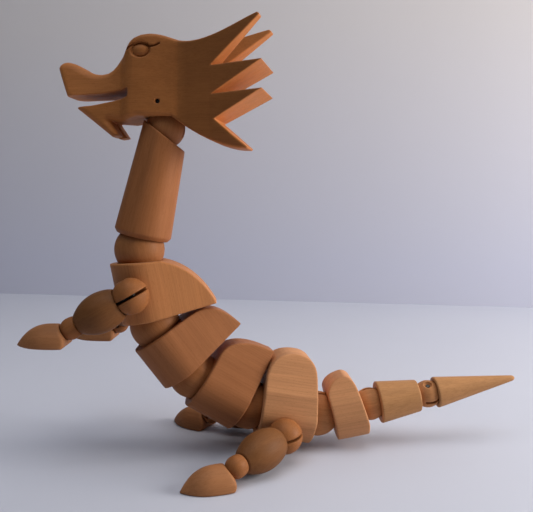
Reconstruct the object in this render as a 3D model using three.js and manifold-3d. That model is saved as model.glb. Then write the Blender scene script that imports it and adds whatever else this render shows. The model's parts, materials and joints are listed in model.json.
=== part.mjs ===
// Wooden dragon mannequin, in millimetres, +Z up. It faces -X and its left side is -Y.
// Every block frame has +X toward the tail, +Z toward the back, and its origin at the front ball.
// Every joint frame has +X from the parent toward the child and its cross pin along Y.
import * as THREE from 'three';
import { mergeVertices } from 'three/addons/utils/BufferGeometryUtils.js';
import Module from 'manifold-3d';

const wasm = await Module();
wasm.setup();

// Sizes that everything else is tied to
const BODY_RADIUS = 18.5;
const RIDGE_HALF_WIDTH = 8;
const BODY_BALL = 14.8;
const NECK_BALL = 14.6;
const HEAD_BALL = 11.4;
const LIMB_BALL = 10.3;
const SMALL_BALL = 6.3;
const TAIL_BALLS = { tail_base: 13.6, tail_middle: 10, tail_tip: 8.4 };

// Distance from the ball in front of a block to the ball behind it
const LENGTH = {
  neck: 72, chest: 45.4, abdomen: 37.3, belly: 39.1, pelvis: 43.3, tail_base: 33.4, tail_middle: 36.9,
  tail_tip: 56.7,
};

// Side outlines: x of the front points counts from the front ball, x of the rear points from the rear ball
const OUTLINE = {
  chest: { foot: 4.5, rise: [8.5, 12], bulge: [15.5, 30], crown: [-8, 38], tip: [-6.2, 38.2], heel: -4 },
  abdomen: { foot: 4.6, rise: [7.2, 20], bulge: [8, 36], crown: [-9, 40], tip: [-7.2, 40.3], heel: -4 },
  belly: { foot: 5, rise: [7, 19], bulge: [8.5, 33], crown: [-7, 35.6], tip: [-4.6, 36], heel: -4 },
  pelvis: { foot: 6.5, rise: [7.2, 22], bulge: [9, 38], crown: [-18, 36.6], tip: [-8.8, 34], heel: -3.4 },
  tail_base: {
    foot: 10, rise: [7, 13], bulge: [8.2, 23], crown: [-17.9, 25.2], tip: [-9.9, 20], heel: -4.2, hock: -7,
  },
};

// Radii of the turned pieces at their two ends
const TAIL_BASE_RADII = [18, 15.4];
const TAIL_BASE_RIDGE = 6;
const TAIL_MIDDLE_RADII = [12.9, 9.8];
const TAIL_TIP_RADII = [9.6, 1.9];
const NECK_RADII = [12.6, 16.6];

// Length of the head, and the length at which its outlines below are drawn
const HEAD_LENGTH = 126;
const HEAD_DRAWN_LENGTH = 126;

// Joinery: saw cut, cross pin, link plate and stem
const KERF = 1.7;
const PIN_RADIUS = 1.2;
const PIN_GAP = 0.15;
const HOLE_MOUTH_RADIUS = 2.4;
const LINK_THICKNESS = 1.1;
const LINK_WIDTH = 3.4;
const EYE_RADIUS = 2.8;
const EYE_GAP = 0.35;
const BORE_GAP = 0.2;
const STEM_RADIUS = 3;
const SMALL_STEM_RADIUS = 2.2;
const LONG_REACH = 6;
const SHORT_REACH = 3.1;
const HEAD_PIN_RISE = 13.4;

// Limbs
const SHOULDER_SEAT = { x: 23.8, y: 25, z: -7.1 };
const HIP_SEAT = { x: 20.2, y: 25, z: -8.3 };
const LIMB_LENGTH = { arm: 38, leg: 40.5 };
const SOLE_DROP = 10;
const EGG_FRONT = 7;
const EGG_RADIUS = 11.6;
const WRIST_GAP = 4.6;
const PAW_LENGTH = 31.4;
const PAW_HEIGHT = 12.7;
const PAW_NARROWING = 0.8;

// Rest pose, in degrees. Bend is toward the back, spin turns a ball in its parent, twist turns the child.
const PELVIS = { height: 27.6, pitch: 10.3, yaw: 8 };
const POSE = {
  belly: { bend: 21.6, spin: 0, twist: 5 },
  abdomen: { bend: 21.9, spin: 0, twist: 0.5 },
  chest: { bend: 25.8, spin: 0, twist: -7 },
  neck: { bend: 23.8, spin: -4.4, twist: 0.9 },
  head: { bend: -12.5, spin: -9.5, twist: -2.6 },
  tail_base: { bend: 19.5, spin: 11, twist: -11 },
  tail_middle: { bend: -0.3, spin: 0, twist: 0 },
  tail_tip: { bend: 1, spin: -62, twist: 62 },
};
const LIMBS = {
  left_arm: { heading: 180, drop: 28.5, paw: 178 },
  right_arm: { heading: 133, drop: 46, paw: 176 },
  left_leg: { heading: 227.5, paw: 199 },
  right_leg: { heading: 172, paw: 150 },
};

const ROUND_SEGMENTS = 16;
const rad = THREE.MathUtils.degToRad;

const WOOD = new THREE.MeshStandardMaterial({ color: 0xb98350, roughness: 0.55, metalness: 0 });
const BALL_WOOD = new THREE.MeshStandardMaterial({ color: 0xa9744a, roughness: 0.5, metalness: 0 });
const STEEL = new THREE.MeshStandardMaterial({ color: 0x8d8f93, roughness: 0.35, metalness: 1 });

function ballSegments(radius) {
  return radius > 9 ? 16 : 12;
}

function solid(geometry) {
  const bare = geometry.clone();
  bare.deleteAttribute('normal');
  bare.deleteAttribute('uv');
  const welded = mergeVertices(bare, 1e-4);
  return new wasm.Manifold(new wasm.Mesh({
    numProp: 3,
    vertProperties: new Float32Array(welded.attributes.position.array),
    triVerts: new Uint32Array(welded.index.array),
  }));
}

function mesh(name, body, material) {
  const data = body.getMesh();
  const geometry = new THREE.BufferGeometry();
  geometry.setAttribute('position', new THREE.BufferAttribute(new Float32Array(data.vertProperties), 3));
  geometry.setIndex(new THREE.BufferAttribute(new Uint32Array(data.triVerts), 1));
  geometry.computeVertexNormals();
  const node = new THREE.Mesh(geometry, material);
  node.name = name;
  return node;
}

function ball(radius, at = [0, 0, 0], segments = ballSegments(radius)) {
  const geometry = new THREE.SphereGeometry(radius, segments, segments / 2);
  geometry.rotateZ(Math.PI / 2);
  return solid(geometry.translate(...at));
}

// A flat-faced ball only turns freely in a flat-faced seat that is larger by the depth of its facets
function ballSeat(radius, at = [0, 0, 0]) {
  const segments = ballSegments(radius);
  const facet = Math.cos(Math.PI / segments) ** 2;
  return ball(radius / facet + 0.04, at, segments);
}

function rod(radius, from, to, segments = 10) {
  const start = new THREE.Vector3(...from);
  const end = new THREE.Vector3(...to);
  const along = end.clone().sub(start);
  const geometry = new THREE.CylinderGeometry(radius, radius, along.length(), segments);
  const turn = new THREE.Quaternion().setFromUnitVectors(new THREE.Vector3(0, 1, 0), along.clone().normalize());
  geometry.applyQuaternion(turn);
  const middle = start.add(end).multiplyScalar(0.5);
  return solid(geometry.translate(middle.x, middle.y, middle.z));
}

function box(low, high) {
  const size = high.map((value, i) => value - low[i]);
  const geometry = new THREE.BoxGeometry(...size);
  return solid(geometry.translate(...high.map((value, i) => (value + low[i]) / 2)));
}

// Turned about X from [x, radius] points that start and end on the axis
function turned(points, segments = ROUND_SEGMENTS) {
  const profile = points.map(([x, radius]) => new THREE.Vector2(radius, x));
  const geometry = new THREE.LatheGeometry(profile, segments);
  return geometry.rotateZ(-Math.PI / 2);
}

// A side outline in X and Z, sawn through the whole width
function sawnSide(shape, halfWidth, curveSegments = 8) {
  const geometry = new THREE.ExtrudeGeometry(shape, { depth: 2 * halfWidth, bevelEnabled: false, curveSegments });
  geometry.rotateX(Math.PI / 2);
  return solid(geometry.translate(0, halfWidth, 0));
}

// A cross-section in Y and Z, run along X
function run(shape, fromX, toX, curveSegments = 9) {
  const geometry = new THREE.ExtrudeGeometry(shape, { depth: toX - fromX, bevelEnabled: false, curveSegments });
  const axes = new THREE.Matrix4().makeBasis(
    new THREE.Vector3(0, 1, 0), new THREE.Vector3(0, 0, 1), new THREE.Vector3(1, 0, 0),
  );
  return solid(geometry.applyMatrix4(axes).translate(fromX, 0, 0));
}

// Round belly with flat flanks that close in toward the ridge
function bodySection(radius, ridgeHalfWidth, height) {
  const reach = Math.hypot(ridgeHalfWidth, height);
  const tangent = Math.atan2(height, ridgeHalfWidth) - Math.acos(radius / reach);
  const shape = new THREE.Shape();
  shape.moveTo(ridgeHalfWidth, height);
  shape.lineTo(-ridgeHalfWidth, height);
  shape.absarc(0, 0, radius, Math.PI - tangent, 2 * Math.PI + tangent, false);
  return shape;
}

function bodyOutline(name, bellyFront, bellyRear) {
  const { foot, rise, bulge, crown, tip, heel, hock = 0 } = OUTLINE[name];
  const length = LENGTH[name];
  const shape = new THREE.Shape();
  shape.moveTo(foot, -bellyFront);
  shape.lineTo(length + heel, -bellyRear);
  shape.lineTo(length + heel, hock);
  shape.lineTo(length + tip[0], tip[1]);
  shape.lineTo(length + crown[0], crown[1]);
  shape.quadraticCurveTo(bulge[0], bulge[1], rise[0], rise[1]);
  return shape;
}

function bodyBlock(name, radius, ridgeHalfWidth, bellyFront = radius + 1, bellyRear = radius + 1) {
  const top = OUTLINE[name].crown[1] + 2;
  const section = run(bodySection(radius, ridgeHalfWidth, top), 0, LENGTH[name]);
  return sawnSide(bodyOutline(name, bellyFront, bellyRear), radius + 1).intersect(section);
}

// The hollow that a joint leaves in a block: a seat for the ball and a bore along the given direction
function hollow(at, direction, radius, boreRadius, reach) {
  const end = at.map((value, i) => value + direction[i] * (radius + reach + BORE_GAP));
  return ballSeat(radius, at).add(rod(boreRadius + BORE_GAP, at, end));
}

function stemHollow(at, direction, radius, reach) {
  return hollow(at, direction, radius, STEM_RADIUS, reach);
}

function linkHollow(at, direction, radius, reach) {
  return hollow(at, direction, radius, Math.hypot(LINK_WIDTH, LINK_THICKNESS) / 2 + 0.1, reach);
}

// Turned ball with its stem, saw cut toward the child, and a blind cross hole open on one side
function jointBall(radius, reach, holeSide) {
  const stem = rod(STEM_RADIUS, [-radius - reach, 0, 0], [-radius + 2, 0, 0]);
  const cut = box([-EYE_RADIUS - 0.6, -KERF / 2, -radius - 1], [radius + 1, KERF / 2, radius + 1]);
  const hole = rod(PIN_RADIUS + PIN_GAP, [0, -holeSide * 0.7 * radius, 0], [0, holeSide * (radius + 1), 0], 8);
  const mouth = rod(HOLE_MOUTH_RADIUS, [0, holeSide * 0.82 * radius, 0], [0, holeSide * (radius + 1), 0], 8);
  return ball(radius).add(stem).subtract(cut).subtract(hole).subtract(mouth);
}

function jointPin(radius, holeSide) {
  return rod(PIN_RADIUS, [0, -holeSide * (0.7 * radius - PIN_GAP), 0], [0, holeSide * 0.82 * radius, 0], 8);
}

// Flat steel link: an eye on the cross pin and a bar that runs into the child
function linkPlate(length, endEye = false) {
  const shape = new THREE.Shape();
  const half = LINK_WIDTH / 2;
  const lead = Math.sqrt(EYE_RADIUS ** 2 - half ** 2);
  const angle = Math.atan2(half, lead);
  shape.absarc(0, 0, EYE_RADIUS, angle, 2 * Math.PI - angle, false);
  if (endEye) {
    shape.absarc(length, 0, EYE_RADIUS, angle - Math.PI, Math.PI - angle, false);
  } else {
    shape.lineTo(length, -half);
    shape.lineTo(length, half);
  }
  const holes = endEye ? [0, length] : [0];
  for (const x of holes) {
    shape.holes.push(new THREE.Path().absarc(x, 0, PIN_RADIUS + EYE_GAP, 0, 2 * Math.PI, true));
  }
  const options = { depth: LINK_THICKNESS, bevelEnabled: false, curveSegments: 3 };
  const geometry = new THREE.ExtrudeGeometry(shape, options).rotateX(Math.PI / 2);
  return solid(geometry.translate(0, LINK_THICKNESS / 2, 0));
}

function group(name, parent) {
  const node = new THREE.Group();
  node.name = name;
  parent.add(node);
  return node;
}

// Ball, pin and link of one joint. Returns the frame in which the child is built.
function addJoint(base, name, radius, reach, pose, holeSide, linkLength) {
  const spun = group(`${name}_spin`, base);
  spun.rotation.x = rad(pose.spin);
  spun.add(mesh(`${name}_ball`, jointBall(radius, reach, holeSide), BALL_WOOD));
  spun.add(mesh(`${name}_pin`, jointPin(radius, holeSide), STEEL));
  const swung = group(`${name}_swing`, spun);
  swung.rotation.y = -rad(pose.bend);
  swung.add(mesh(`${name}_link`, linkPlate(linkLength, name === 'head'), STEEL));
  const child = group(`${name}_frame`, swung);
  child.rotation.x = rad(pose.twist);
  return child;
}

// A joint at the front of a block faces the head, so its frame is turned half round
function headwardBase(block) {
  const base = group('front', block);
  base.rotation.z = Math.PI;
  return base;
}

function tailwardBase(block, length) {
  const base = group('rear', block);
  base.position.x = length;
  return base;
}

// Block frame of a block that hangs on the ball behind it
function headwardBlock(frame, name) {
  const block = group(`${name}_block`, frame);
  block.position.x = LENGTH[name];
  block.rotation.z = Math.PI;
  return block;
}

function addTrunkBlock(pelvisBlock) {
  const blocks = { pelvis: pelvisBlock };
  let parent = pelvisBlock;
  for (const name of ['belly', 'abdomen', 'chest']) {
    const linkLength = BODY_BALL + SHORT_REACH;
    const frame = addJoint(headwardBase(parent), name, BODY_BALL, SHORT_REACH, POSE[name], -1, linkLength);
    parent = headwardBlock(frame, name);
    blocks[name] = parent;
  }
  for (const name of ['belly', 'abdomen']) {
    const wood = bodyBlock(name, BODY_RADIUS, RIDGE_HALF_WIDTH)
      .subtract(stemHollow([0, 0, 0], [1, 0, 0], BODY_BALL, SHORT_REACH))
      .subtract(linkHollow([LENGTH[name], 0, 0], [-1, 0, 0], BODY_BALL, SHORT_REACH));
    blocks[name].add(mesh(name, wood, WOOD));
  }
  return blocks;
}

function limbHollows(wood, seat) {
  let carved = wood;
  for (const side of [-1, 1]) {
    const at = [seat.x, side * seat.y, seat.z];
    carved = carved.subtract(stemHollow(at, [0, -side, 0], LIMB_BALL, LONG_REACH));
  }
  return carved;
}

function addPelvis(block) {
  const wood = bodyBlock('pelvis', BODY_RADIUS, RIDGE_HALF_WIDTH)
    .subtract(stemHollow([0, 0, 0], [1, 0, 0], BODY_BALL, SHORT_REACH))
    .subtract(stemHollow([LENGTH.pelvis, 0, 0], [-1, 0, 0], TAIL_BALLS.tail_base, LONG_REACH));
  block.add(mesh('pelvis', limbHollows(wood, HIP_SEAT), WOOD));
}

function addChest(block) {
  const wood = bodyBlock('chest', BODY_RADIUS, RIDGE_HALF_WIDTH)
    .subtract(stemHollow([0, 0, 0], [1, 0, 0], NECK_BALL, LONG_REACH))
    .subtract(linkHollow([LENGTH.chest, 0, 0], [-1, 0, 0], BODY_BALL, SHORT_REACH));
  block.add(mesh('chest', limbHollows(wood, SHOULDER_SEAT), WOOD));
}

// Tapered neck with a chamfered foot and a slanting top
function addNeck(chestBlock) {
  const linkLength = NECK_BALL + LONG_REACH;
  const frame = addJoint(headwardBase(chestBlock), 'neck', NECK_BALL, LONG_REACH, POSE.neck, -1, linkLength);
  const block = headwardBlock(frame, 'neck');
  const length = LENGTH.neck;
  const footX = length - 7.5;
  const [top, foot] = NECK_RADII;
  const cone = solid(turned([[-6, 0], [-6, top], [footX - 2.4, foot], [footX, foot - 1.8], [footX, 0]]));
  const slant = new THREE.BoxGeometry(60, 60, 60).translate(-30, 0, 0).rotateY(rad(25.5)).translate(4, 0, 0);
  const wood = cone.subtract(solid(slant))
    .subtract(stemHollow([0, 0, 0], [1, 0, 0], HEAD_BALL, LONG_REACH))
    .subtract(linkHollow([length, 0, 0], [-1, 0, 0], NECK_BALL, LONG_REACH));
  block.add(mesh('neck', wood, WOOD));
  return block;
}

// Side outline of the head, nose to the left, drawn from the head ball with Z up
function headOutline() {
  const shape = new THREE.Shape();
  shape.moveTo(-65.2, 35.6);
  shape.bezierCurveTo(-64.5, 38.8, -60.5, 39.8, -56.4, 38.6);
  shape.bezierCurveTo(-48, 36.4, -45, 30.8, -36, 30.6);
  shape.bezierCurveTo(-22, 30.4, -23.5, 51, -4.5, 51);
  shape.bezierCurveTo(6, 50.6, 9.5, 46.3, 19, 46.2);
  shape.bezierCurveTo(33, 46.4, 45, 53.4, 58.5, 57.8);
  shape.lineTo(30.7, 32.1);
  shape.lineTo(60.6, 34);
  shape.lineTo(31, 16.8);
  shape.lineTo(60.4, 18.7);
  shape.lineTo(32.4, 3.2);
  shape.lineTo(50, -13);
  shape.bezierCurveTo(36, -13.2, 21, -5, 7, 5.4);
  shape.lineTo(-13, 5.4);
  shape.lineTo(-21, 3.2);
  shape.lineTo(-30.4, 3.8);
  shape.lineTo(-24.6, -4.8);
  shape.lineTo(-28.9, -5.6);
  shape.lineTo(-51.8, 11.8);
  shape.lineTo(-40.7, 12.4);
  shape.lineTo(-17, 16);
  shape.lineTo(-17, 21.2);
  shape.lineTo(-35.3, 18.9);
  shape.lineTo(-57.8, 18.5);
  return shape;
}

// Plan of the head: narrow snout, full cheeks, a waist behind them and a flaring crest
function headPlan() {
  const shape = new THREE.Shape();
  shape.moveTo(-66, -6);
  shape.bezierCurveTo(-58.5, -11.5, -43, -8, -23, -11.5);
  shape.bezierCurveTo(-20, -13, -19, -16, -15, -16);
  shape.bezierCurveTo(-5, -15.8, 4, -13.6, 11, -12.8);
  shape.bezierCurveTo(28, -15, 46, -18, 62, -20);
  shape.lineTo(62, 20);
  shape.bezierCurveTo(46, 18, 28, 15, 11, 12.8);
  shape.bezierCurveTo(4, 13.6, -5, 15.8, -15, 16);
  shape.bezierCurveTo(-19, 16, -20, 13, -23, 11.5);
  shape.bezierCurveTo(-43, 8, -58.5, 11.5, -66, 6);
  return shape;
}

// Section of the head: the lowest crest spike closes in toward its tip
function headSection() {
  const shape = new THREE.Shape();
  shape.moveTo(24, 70);
  shape.lineTo(-24, 70);
  shape.lineTo(-24, 14);
  shape.lineTo(-17.5, 4.5);
  shape.lineTo(-7.5, -14);
  shape.lineTo(7.5, -14);
  shape.lineTo(17.5, 4.5);
  shape.lineTo(24, 14);
  return shape;
}

// A wedge across the middle plane, from its edge at x to its open end, between two heights
function wedge(edgeX, openX, halfWidth, low, high) {
  const shape = new THREE.Shape();
  shape.moveTo(edgeX, 0);
  shape.lineTo(openX, -halfWidth);
  shape.lineTo(openX, halfWidth);
  const geometry = new THREE.ExtrudeGeometry(shape, { depth: high - low, bevelEnabled: false });
  return solid(geometry.translate(0, 0, low));
}

function addHead(neckBlock) {
  const frame = addJoint(headwardBase(neckBlock), 'head', HEAD_BALL, LONG_REACH, POSE.head, -1, HEAD_PIN_RISE);
  const block = group('head_block', frame);
  // The joint frame points up the link; the head itself is drawn with Z up and the nose toward -X
  block.setRotationFromMatrix(new THREE.Matrix4().makeBasis(
    new THREE.Vector3(0, 0, 1), new THREE.Vector3(0, -1, 0), new THREE.Vector3(1, 0, 0),
  ));
  const plan = new THREE.ExtrudeGeometry(headPlan(), { depth: 90, bevelEnabled: false, curveSegments: 5 });
  const horns = wedge(29, 64, 16.5, 36, 66);
  const fangs = wedge(-31.5, -22, 3.4, -8, 2.6);
  const hole = rod(PIN_RADIUS + PIN_GAP, [0, -30, HEAD_PIN_RISE], [0, 30, HEAD_PIN_RISE], 8);
  const slot = box([-EYE_RADIUS - 0.4, -KERF / 2, 0], [EYE_RADIUS + 0.4, KERF / 2, HEAD_PIN_RISE + EYE_RADIUS + 0.4]);
  const wood = sawnSide(headOutline(), 30, 5)
    .intersect(solid(plan.translate(0, 0, -25)))
    .intersect(run(headSection(), -70, 70))
    .subtract(horns)
    .subtract(fangs)
    .scale(HEAD_LENGTH / HEAD_DRAWN_LENGTH)
    .subtract(ballSeat(HEAD_BALL))
    .subtract(slot)
    .subtract(hole);
  block.add(mesh('head', wood, WOOD));
  block.add(mesh('head_cross_pin', rod(PIN_RADIUS, [0, -13.2, HEAD_PIN_RISE], [0, 13.2, HEAD_PIN_RISE], 8), STEEL));
  return block;
}

function addTail(pelvisBlock) {
  const base = tailwardBase(pelvisBlock, LENGTH.pelvis);
  const baseBall = TAIL_BALLS.tail_base;
  const middleBall = TAIL_BALLS.tail_middle;
  const tipBall = TAIL_BALLS.tail_tip;
  const tailBase = addJoint(base, 'tail_base', baseBall, LONG_REACH, POSE.tail_base, 1, baseBall + SHORT_REACH);
  const baseWood = bodyBlock('tail_base', TAIL_BASE_RADII[0], TAIL_BASE_RIDGE, ...TAIL_BASE_RADII)
    .subtract(linkHollow([0, 0, 0], [1, 0, 0], baseBall, SHORT_REACH))
    .subtract(stemHollow([LENGTH.tail_base, 0, 0], [-1, 0, 0], middleBall, SHORT_REACH));
  tailBase.add(mesh('tail_base', baseWood, WOOD));

  const middleBase = tailwardBase(tailBase, LENGTH.tail_base);
  const middleLink = middleBall + SHORT_REACH;
  const tailMiddle = addJoint(middleBase, 'tail_middle', middleBall, SHORT_REACH, POSE.tail_middle, 1, middleLink);
  const rear = LENGTH.tail_middle - 6;
  const [middleFront, middleRear] = TAIL_MIDDLE_RADII;
  const middleWood = solid(turned([[5.2, 0], [5.2, middleFront], [rear, middleRear], [rear, 0]]))
    .subtract(linkHollow([0, 0, 0], [1, 0, 0], middleBall, SHORT_REACH))
    .subtract(stemHollow([LENGTH.tail_middle, 0, 0], [-1, 0, 0], tipBall, SHORT_REACH));
  tailMiddle.add(mesh('tail_middle', middleWood, WOOD));

  const tipBase = tailwardBase(tailMiddle, LENGTH.tail_middle);
  const tailTip = addJoint(tipBase, 'tail_tip', tipBall, SHORT_REACH, POSE.tail_tip, -1, tipBall + LONG_REACH);
  const end = LENGTH.tail_tip;
  const [tipFront, tipRear] = TAIL_TIP_RADII;
  const tipWood = solid(turned([[4.8, 0], [4.8, tipFront], [end - 2, tipRear], [end, tipRear / 2], [end, 0]]))
    .subtract(linkHollow([0, 0, 0], [1, 0, 0], tipBall, LONG_REACH));
  tailTip.add(mesh('tail_tip', tipWood, WOOD));
}

// Turned from [share of the length, share of the radius] points between two places on X
function turnedShares(shares, fromX, toX, radius) {
  const points = shares.map(([along, out]) => [fromX + along * (toX - fromX), out * radius]);
  return turned([[points[0][0], 0], ...points, [points[points.length - 1][0], 0]], 14);
}

function eggWood(length) {
  const shares = [
    [0, 0.73], [0.17, 0.92], [0.38, 1], [0.56, 0.98], [0.74, 0.85], [0.89, 0.66], [1, 0.5],
  ];
  const wrist = hollow([length, 0, 0], [-1, 0, 0], SMALL_BALL, SMALL_STEM_RADIUS, SHORT_REACH);
  return solid(turnedShares(shares, EGG_FRONT, length - WRIST_GAP, EGG_RADIUS))
    .subtract(linkHollow([0, 0, 0], [1, 0, 0], LIMB_BALL, LONG_REACH))
    .subtract(wrist);
}

// Ball of a wrist or ankle: a drum on the side of the egg, a stem in the egg, and a blind cross hole
function smallBall(holeDirection) {
  const segments = ballSegments(SMALL_BALL);
  const back = -WRIST_GAP + 0.3;
  const profile = [[back, 0], [back, 0.91 * SMALL_BALL]];
  for (let i = 0; i <= segments / 4; i += 1) {
    const angle = (i * 2 * Math.PI) / segments;
    profile.push([SMALL_BALL * Math.sin(angle), SMALL_BALL * Math.cos(angle)]);
  }
  const stem = rod(SMALL_STEM_RADIUS, [-SMALL_BALL - SHORT_REACH, 0, 0], [back + 1, 0, 0], 8);
  const hole = rod(0.3 * SMALL_BALL, [0, 0, 0], holeDirection.map((value) => value * (SMALL_BALL + 1)), 8);
  return solid(turned(profile, segments)).add(stem).subtract(hole);
}

// Hand or foot: half a turned egg with a flat sole, cut back at the heel and seated on the small ball
function pawWood() {
  const shares = [
    [0, 0.85], [0.15, 0.97], [0.31, 1], [0.46, 0.98], [0.6, 0.91], [0.74, 0.74], [0.86, 0.49], [0.96, 0.2], [1, 0.05],
  ];
  const egg = turnedShares(shares, -1, PAW_LENGTH, PAW_HEIGHT).scale(1, PAW_NARROWING, 1).translate(0, 0, -SOLE_DROP);
  const under = box([-20, -20, -SOLE_DROP - 20], [PAW_LENGTH + 10, 20, -SOLE_DROP]);
  const back = new THREE.BoxGeometry(40, 40, 40).translate(-20, 0, 0).rotateY(rad(30)).translate(4.7, 0, 0);
  const heel = new THREE.BoxGeometry(40, 40, 40).translate(-20, 0, 0).rotateY(rad(-25)).translate(2.9, 0, -SOLE_DROP);
  return solid(egg)
    .subtract(under)
    .subtract(solid(back))
    .subtract(solid(heel))
    .subtract(ballSeat(SMALL_BALL));
}

// Direction of a limb in the world from its heading about Z and its drop below level
function limbDirection(heading, drop) {
  return new THREE.Vector3(
    Math.cos(rad(heading)) * Math.cos(rad(drop)), Math.sin(rad(heading)) * Math.cos(rad(drop)), -Math.sin(rad(drop)),
  );
}

function addLimb(root, block, seat, side, name, names) {
  const base = group(`${name}_seat`, block);
  base.position.set(seat.x, side * seat.y, seat.z);
  base.rotation.z = side * Math.PI / 2;
  root.updateMatrixWorld(true);
  const centre = base.getWorldPosition(new THREE.Vector3());
  const limb = LIMBS[name];
  const length = LIMB_LENGTH[name.slice(-3)];
  const drop = limb.drop ?? THREE.MathUtils.radToDeg(Math.asin((centre.z - SOLE_DROP) / length));
  const turn = base.getWorldQuaternion(new THREE.Quaternion()).invert();
  const local = limbDirection(limb.heading, drop).applyQuaternion(turn);
  const pose = {
    spin: THREE.MathUtils.radToDeg(Math.atan2(local.y, -local.z)),
    bend: -THREE.MathUtils.radToDeg(Math.acos(local.x)),
    twist: 0,
  };
  const holeSide = name.endsWith('leg') ? -side : side;
  const frame = addJoint(base, names.ball, LIMB_BALL, LONG_REACH, pose, holeSide, LIMB_BALL + LONG_REACH);
  frame.add(mesh(names.egg, eggWood(length), WOOD));
  const end = group(`${names.small}_end`, frame);
  end.position.x = length;
  root.updateMatrixWorld(true);
  const level = group(`${names.small}_swing`, end);
  level.quaternion.copy(end.getWorldQuaternion(new THREE.Quaternion()).invert());
  level.quaternion.multiply(new THREE.Quaternion().setFromAxisAngle(new THREE.Vector3(0, 0, 1), rad(limb.paw)));
  // The cross hole of the small ball opens toward the other side of the body
  const inward = new THREE.Vector3(0, side * Math.sign(Math.cos(rad(limb.paw))), 0).negate();
  const holeDirection = inward.applyQuaternion(level.quaternion).toArray();
  end.add(mesh(`${names.small}_ball`, smallBall(holeDirection), BALL_WOOD));
  level.add(mesh(names.paw, pawWood(), WOOD));
}

function addLimbs(root, blocks) {
  for (const [side, hand] of [[-1, 'left'], [1, 'right']]) {
    addLimb(root, blocks.chest, SHOULDER_SEAT, side, `${hand}_arm`, {
      ball: `${hand}_shoulder`, egg: `${hand}_upper_arm`, small: `${hand}_wrist`, paw: `${hand}_hand`,
    });
    addLimb(root, blocks.pelvis, HIP_SEAT, side, `${hand}_leg`, {
      ball: `${hand}_hip`, egg: `${hand}_thigh`, small: `${hand}_ankle`, paw: `${hand}_foot`,
    });
  }
}

const dragon = new THREE.Group();
dragon.name = 'dragon_mannequin';
const figure = group('figure', dragon);
const pelvisBlock = group('pelvis_block', figure);
pelvisBlock.rotation.order = 'ZYX';
pelvisBlock.rotation.set(0, rad(PELVIS.pitch), rad(PELVIS.yaw));
pelvisBlock.position.z = PELVIS.height;

addPelvis(pelvisBlock);
const blocks = addTrunkBlock(pelvisBlock);
addChest(blocks.chest);
addHead(addNeck(blocks.chest));
addTail(pelvisBlock);
addLimbs(dragon, blocks);

// The whole stands on z = 0, centred on its own bounding box
dragon.updateMatrixWorld(true);
const extent = new THREE.Box3().setFromObject(figure, true);
const centre = extent.getCenter(new THREE.Vector3());
figure.position.set(-centre.x, -centre.y, -extent.min.z);
dragon.updateMatrixWorld(true);

export default dragon;
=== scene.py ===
"""Looks of a jointed wooden dragon mannequin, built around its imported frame.

Shapes are worked out in millimetres as distance fields, one local frame per piece, and meshed there.
Every block frame has +X toward the tail, +Z toward the back and its origin at the ball in front of it.
Every joint frame has +X from the parent toward the child and its cross pin along Y.
"""

import json
import math

import bpy
import numpy as np
import openvdb
from mathutils import Matrix, Vector


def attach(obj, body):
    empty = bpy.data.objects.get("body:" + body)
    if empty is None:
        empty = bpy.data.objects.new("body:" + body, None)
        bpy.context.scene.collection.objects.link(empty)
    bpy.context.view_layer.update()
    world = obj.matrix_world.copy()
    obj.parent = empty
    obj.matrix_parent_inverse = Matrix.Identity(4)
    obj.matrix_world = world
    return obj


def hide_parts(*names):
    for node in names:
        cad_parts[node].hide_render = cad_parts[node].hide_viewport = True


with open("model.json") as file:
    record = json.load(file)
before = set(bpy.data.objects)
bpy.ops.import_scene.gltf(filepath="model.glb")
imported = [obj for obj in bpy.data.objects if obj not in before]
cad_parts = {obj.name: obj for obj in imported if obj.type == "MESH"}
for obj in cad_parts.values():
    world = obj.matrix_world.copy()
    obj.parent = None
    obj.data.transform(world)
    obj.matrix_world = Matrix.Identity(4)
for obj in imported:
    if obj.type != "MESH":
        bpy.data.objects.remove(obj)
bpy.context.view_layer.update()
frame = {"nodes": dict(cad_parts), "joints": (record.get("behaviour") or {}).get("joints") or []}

MM = 0.001

# Sizes of the wood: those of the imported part, with block fronts and arched tops a little fuller
LENGTH = {
    "neck": 72, "chest": 45.4, "abdomen": 37.3, "belly": 39.1, "pelvis": 43.3,
    "tail_base": 33.4, "tail_middle": 36.9, "tail_tip": 56.7,
}
OUTLINE = {
    "chest": {
        "foot": 4.5, "rise": (8.5, 12), "bulge": (15.5, 30), "crown": (-8, 38), "tip": (-6.2, 38.2),
        "heel": -4,
    },
    "abdomen": {
        "foot": 4.6, "rise": (6.6, 20), "bulge": (7.6, 36), "crown": (-9, 40), "tip": (-7.2, 40.3),
        "heel": -4,
    },
    "belly": {
        "foot": 5, "rise": (6.2, 19), "bulge": (7.8, 33), "crown": (-7, 35.6), "tip": (-4.6, 36),
        "heel": -4,
    },
    "pelvis": {
        "foot": 6.5, "rise": (5.8, 22), "bulge": (7.8, 38), "crown": (-18, 36.6), "tip": (-8.4, 35.4),
        "heel": -3.4, "arched": True,
    },
    "tail_base": {
        "foot": 10, "rise": (7, 13), "bulge": (8.2, 21.5), "crown": (-14.8, 22.8), "tip": (-9.3, 22),
        "heel": -4.2, "hock": -7, "arched": True,
    },
}
ARCH_START = 0.7
BODY_RADIUS = 18.5
RIDGE_HALF_WIDTH = 8
RIDGE_SPARE = 2
BELLY_SPARE = 2
BELLY_STEPS = 48
CREASED = ("pelvis", "tail_base")
CREASE = (0.93, 0.36)
TAIL_BASE_RADII = (18, 15.4)
TAIL_BASE_RIDGE = 6

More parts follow.
